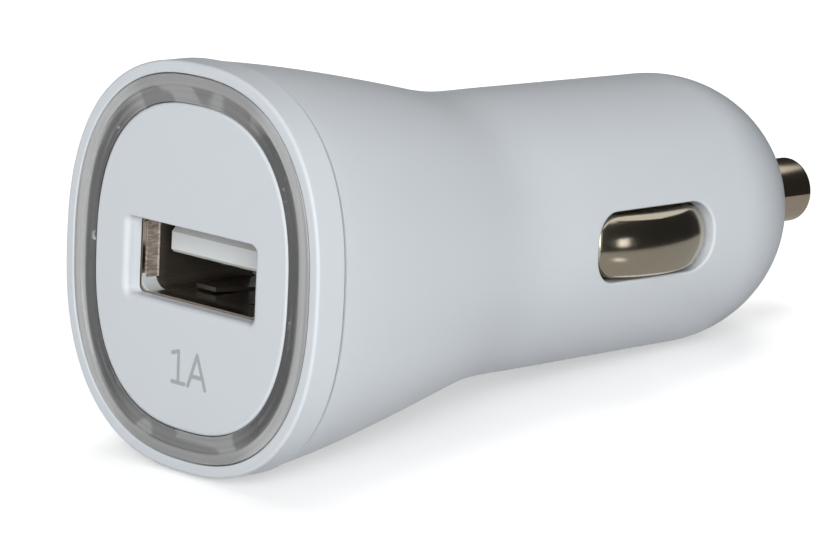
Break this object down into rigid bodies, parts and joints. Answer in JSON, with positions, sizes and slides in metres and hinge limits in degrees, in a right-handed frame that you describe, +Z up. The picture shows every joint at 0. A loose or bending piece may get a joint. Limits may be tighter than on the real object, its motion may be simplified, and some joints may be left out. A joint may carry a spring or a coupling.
{
  "type": "car usb charger plug",
  "caption": "12 V car socket plug with a flared oval head, a USB-A charging port in its face, a clear light ring, a sprung nose tip and sprung side contacts.",
  "frame": {"origin": "on the plug's axis at the front of the straight barrel seat, where the socket's rim stops", "axes": "+Y along the barrel towards the nose tip, +Z up along the head's tall way, the port looks along -Y"},
  "size_m": [0.0258, 0.0632, 0.0285],
  "materials": {
    "white_plastic": "smooth satin-gloss moulded white",
    "clear_plastic": "clear polished moulding",
    "shell_nickel": "bright nickel plate",
    "insulator_white": "white moulded insulator",
    "contact_gold": "gold flash on brass",
    "board_green": "green solder mask",
    "package_black": "black moulded package",
    "ferrite": "dark grey ferrite",
    "copper_wire": "enamelled copper",
    "can_aluminium": "drawn aluminium can",
    "ceramic_tan": "fired ceramic",
    "fuse_white": "white ceramic",
    "led_clear": "clear lens",
    "contact_nickel": "bright nickel plate, mirror polished",
    "spring_steel": "drawn spring wire",
    "terminal_tin": "tinned strip"
  },
  "bodies": {
    "plug": {"housing": "white_plastic", "front_bezel": "white_plastic", "face_plate": "white_plastic", "light_ring": "clear_plastic", "usb_shell": "shell_nickel", "usb_insulator": "insulator_white", "usb_contact_power": "contact_gold", "usb_contact_data_minus": "contact_gold", "usb_contact_data_plus": "contact_gold", "usb_contact_ground": "contact_gold", "circuit_board": "board_green", "converter_chip": "package_black", "inductor_core": "ferrite", "inductor_winding": "copper_wire", "input_capacitor": "can_aluminium", "output_capacitor": "can_aluminium", "ceramic_capacitor_1": "ceramic_tan", "ceramic_capacitor_2": "ceramic_tan", "catch_diode": "package_black", "input_fuse": "fuse_white", "feedback_resistor_upper": "package_black", "feedback_resistor_lower": "package_black", "led_resistor": "package_black", "indicator_led_left": "led_clear", "indicator_led_right": "led_clear", "tip_spring": "spring_steel", "tip_terminal": "terminal_tin"},
    "tip": {"tip_contact": "contact_nickel"},
    "ground_right": {"ground_contact_right": "contact_nickel"},
    "ground_left": {"ground_contact_left": "contact_nickel"}
  },
  "joints": [
    {"name": "tip_press", "type": "slide", "parent": "plug", "child": "tip", "axis": [0, -1, 0], "range_m": [0, 0.003], "stiffness_N_per_m": 400, "springref_m": -0.003, "deforming": ["tip_spring"]},
    {"name": "ground_right_press", "type": "hinge", "parent": "plug", "child": "ground_right", "pos_m": [0.006, 0.0015, 0], "axis": [0, 0, 1], "range_deg": [0, 7], "stiffness_Nm_per_rad": 0.03, "springref_deg": -6.88},
    {"name": "ground_left_press", "type": "hinge", "parent": "plug", "child": "ground_left", "pos_m": [-0.006, 0.0015, 0], "axis": [0, 0, -1], "range_deg": [0, 7], "stiffness_Nm_per_rad": 0.03, "springref_deg": -6.88}
  ]
}
